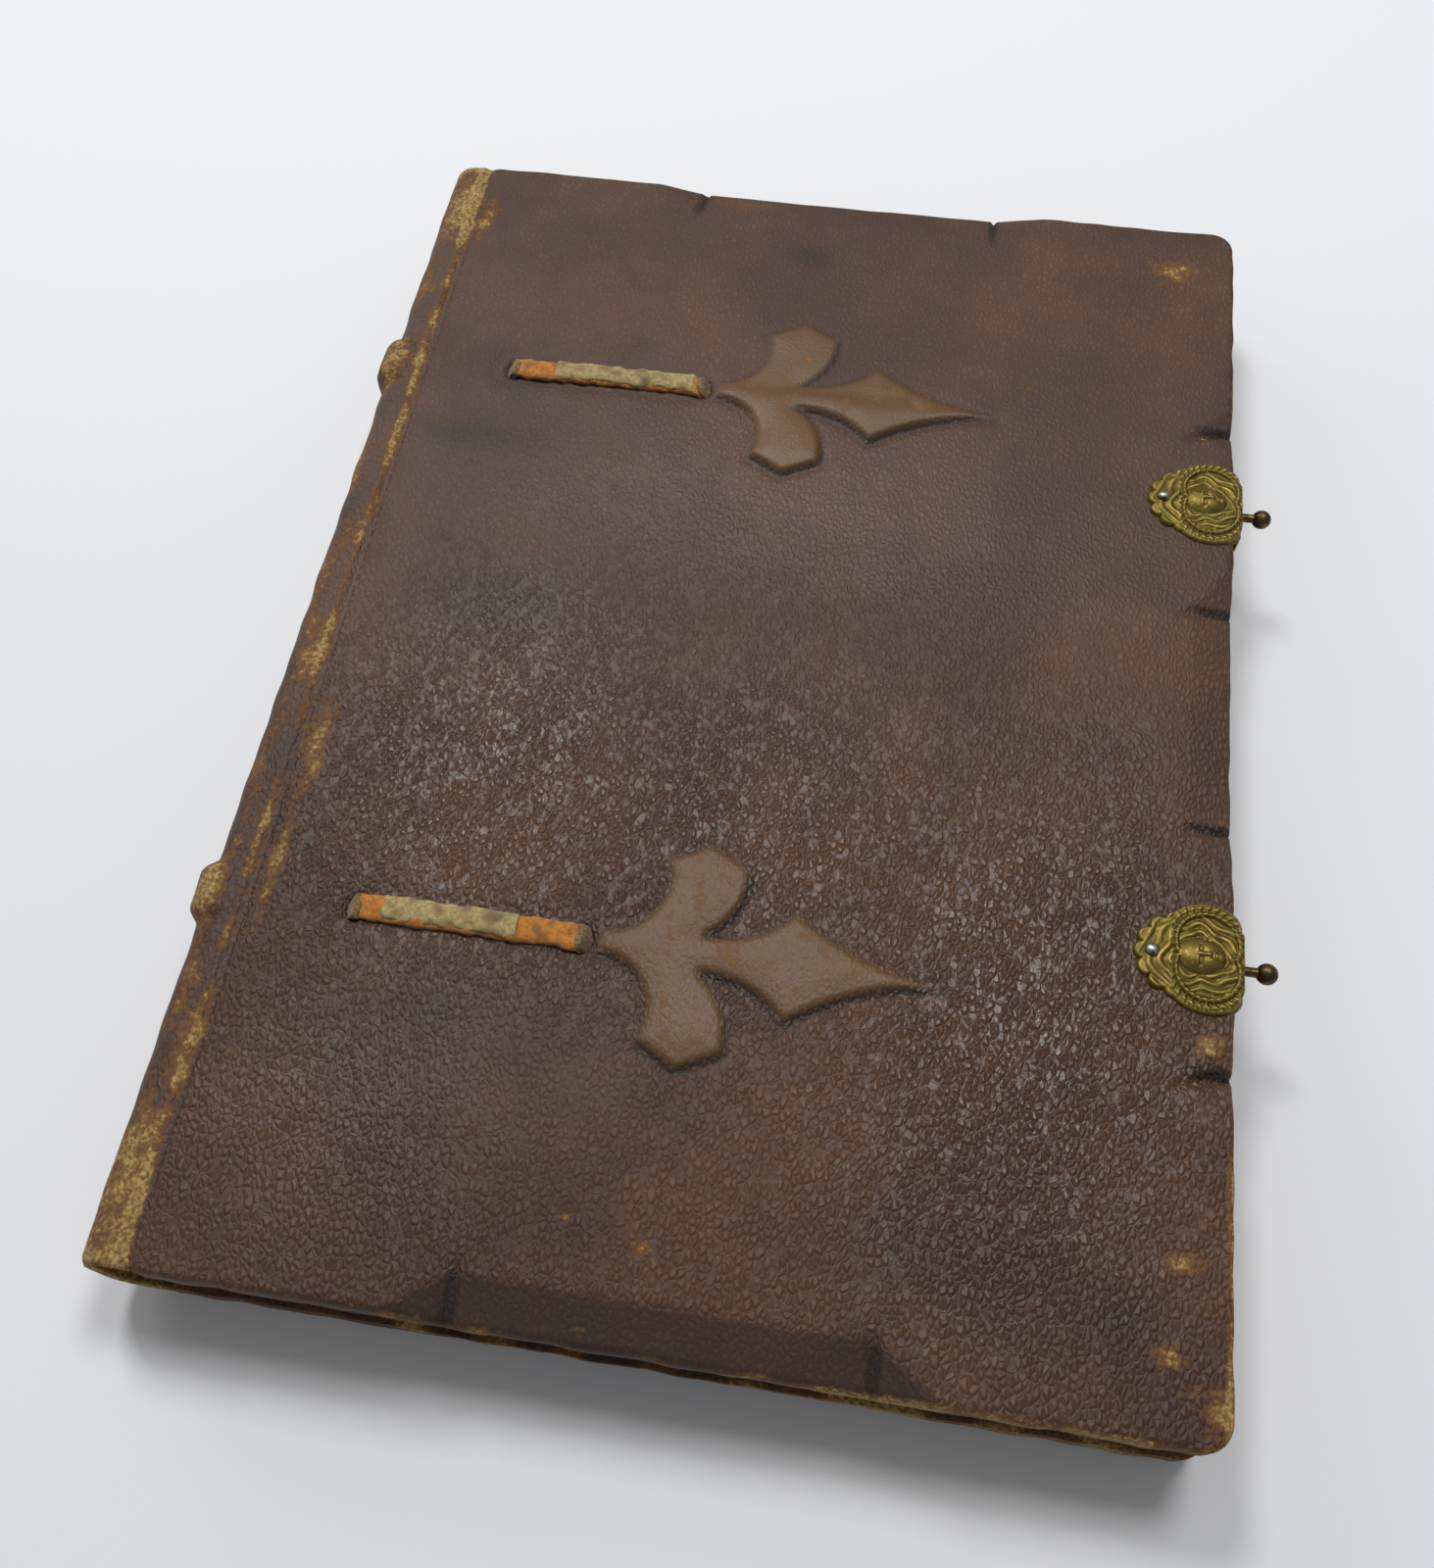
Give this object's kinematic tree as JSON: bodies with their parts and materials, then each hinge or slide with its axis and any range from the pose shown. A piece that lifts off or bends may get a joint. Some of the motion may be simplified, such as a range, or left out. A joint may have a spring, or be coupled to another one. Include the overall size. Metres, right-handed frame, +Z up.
{
  "type": "clasped prayer book",
  "caption": "Small leather-bound prayer book with bevelled boards, raised spine bands, laced straps, moulded fleurons and clasps with cherub plates; covers and leaves open.",
  "frame": {"origin": "bottom centre of the overall box, on the surface that the closed book lies on", "axes": "+X from the spine to the fore-edge, +Y from tail to head, +Z up through the front cover"},
  "size_m": [0.132, 0.175, 0.0181],
  "materials": {
    "cover_leather": "pebbled brown calf, worn",
    "strap_leather": "bare suede side, scuffed",
    "board": "plain",
    "card": "plain",
    "endpaper": "matte",
    "paper": "matte",
    "lining": "glued linen",
    "cord": "hemp cord",
    "thread": "linen thread",
    "endband_silk": "wound silk",
    "aged_brass": "tarnished",
    "dull_steel": "dull grey"
  },
  "bodies": {
    "back_cover": {"back_board": "board", "back_leather": "cover_leather", "back_infill": "card", "back_pastedown": "endpaper", "back_strap_lower": "strap_leather", "back_strap_upper": "strap_leather", "back_fleuron_core_lower": "card", "back_fleuron_core_upper": "card", "hinge_plate_lower": "aged_brass", "hinge_pin_lower": "dull_steel", "hinge_nails_lower": "dull_steel", "hinge_plate_upper": "aged_brass", "hinge_pin_upper": "dull_steel", "hinge_nails_upper": "dull_steel"},
    "book_block": {"spine_leather": "cover_leather", "spine_lining": "lining", "band_core_lower": "cord", "band_core_upper": "cord", "headband": "endband_silk", "tailband": "endband_silk", "sewing_threads": "thread", "back_flyleaf": "endpaper", "leaves_1": "paper", "fold_1": "paper", "fold_2": "paper", "fold_3": "paper", "fold_4": "paper", "fold_5": "paper", "fold_6": "paper"},
    "front_cover": {"front_board": "board", "front_leather": "cover_leather", "front_infill": "card", "front_pastedown": "endpaper", "front_strap_lower": "strap_leather", "front_strap_upper": "strap_leather", "front_fleuron_core_lower": "card", "front_fleuron_core_upper": "card", "catch_plate_lower": "aged_brass", "catch_pin_lower": "dull_steel", "catch_nail_lower": "dull_steel", "catch_plate_upper": "aged_brass", "catch_pin_upper": "dull_steel", "catch_nail_upper": "dull_steel"},
    "leaf_group_2": {"leaves_2": "paper"},
    "leaf_group_3": {"leaves_3": "paper"},
    "leaf_group_4": {"leaves_4": "paper"},
    "leaf_group_5": {"leaves_5": "paper"},
    "leaf_group_6": {"leaves_6": "paper"},
    "front_flyleaf_leaf": {"front_flyleaf": "endpaper"},
    "clasp_lower": {"clasp_arm_lower": "aged_brass"},
    "clasp_upper": {"clasp_arm_upper": "aged_brass"}
  },
  "joints": [
    {"name": "back_joint", "type": "hinge", "parent": "back_cover", "child": "book_block", "pos_m": [-0.0587, 0, 0.00125], "axis": [0, -1, 0], "range_deg": [0, 90]},
    {"name": "front_joint", "type": "hinge", "parent": "book_block", "child": "front_cover", "pos_m": [-0.0587, 0, 0.01655], "axis": [0, -1, 0], "range_deg": [0, 175]},
    {"name": "front_flyleaf_turn", "type": "hinge", "parent": "book_block", "child": "front_flyleaf_leaf", "pos_m": [-0.058, 0, 0.0123], "axis": [0, -1, 0], "range_deg": [0, 95]},
    {"name": "leaf_group_6_turn", "type": "hinge", "parent": "book_block", "child": "leaf_group_6", "pos_m": [-0.058, 0, 0.0123], "axis": [0, -1, 0], "range_deg": [0, 79.2]},
    {"name": "leaf_group_5_turn", "type": "hinge", "parent": "book_block", "child": "leaf_group_5", "pos_m": [-0.058, 0, 0.0123], "axis": [0, -1, 0], "range_deg": [0, 63.5]},
    {"name": "leaf_group_4_turn", "type": "hinge", "parent": "book_block", "child": "leaf_group_4", "pos_m": [-0.058, 0, 0.0123], "axis": [0, -1, 0], "range_deg": [0, 47.8]},
    {"name": "leaf_group_3_turn", "type": "hinge", "parent": "book_block", "child": "leaf_group_3", "pos_m": [-0.058, 0, 0.0123], "axis": [0, -1, 0], "range_deg": [0, 32]},
    {"name": "leaf_group_2_turn", "type": "hinge", "parent": "book_block", "child": "leaf_group_2", "pos_m": [-0.058, 0, 0.0123], "axis": [0, -1, 0], "range_deg": [0, 16.2]},
    {"name": "clasp_hinge_lower", "type": "hinge", "parent": "back_cover", "child": "clasp_lower", "pos_m": [0.0625, -0.0339, 0.0008], "axis": [0, -1, 0], "range_deg": [0, 270]},
    {"name": "clasp_hinge_upper", "type": "hinge", "parent": "back_cover", "child": "clasp_upper", "pos_m": [0.0625, 0.0339, 0.0008], "axis": [0, -1, 0], "range_deg": [0, 270]}
  ],
  "couplings": [
    {"joint": "front_flyleaf_turn", "follows": "front_joint", "ratio": 0.54},
    {"joint": "leaf_group_6_turn", "follows": "front_joint", "ratio": 0.45},
    {"joint": "leaf_group_5_turn", "follows": "front_joint", "ratio": 0.36},
    {"joint": "leaf_group_4_turn", "follows": "front_joint", "ratio": 0.27},
    {"joint": "leaf_group_3_turn", "follows": "front_joint", "ratio": 0.18},
    {"joint": "leaf_group_2_turn", "follows": "front_joint", "ratio": 0.09}
  ]
}
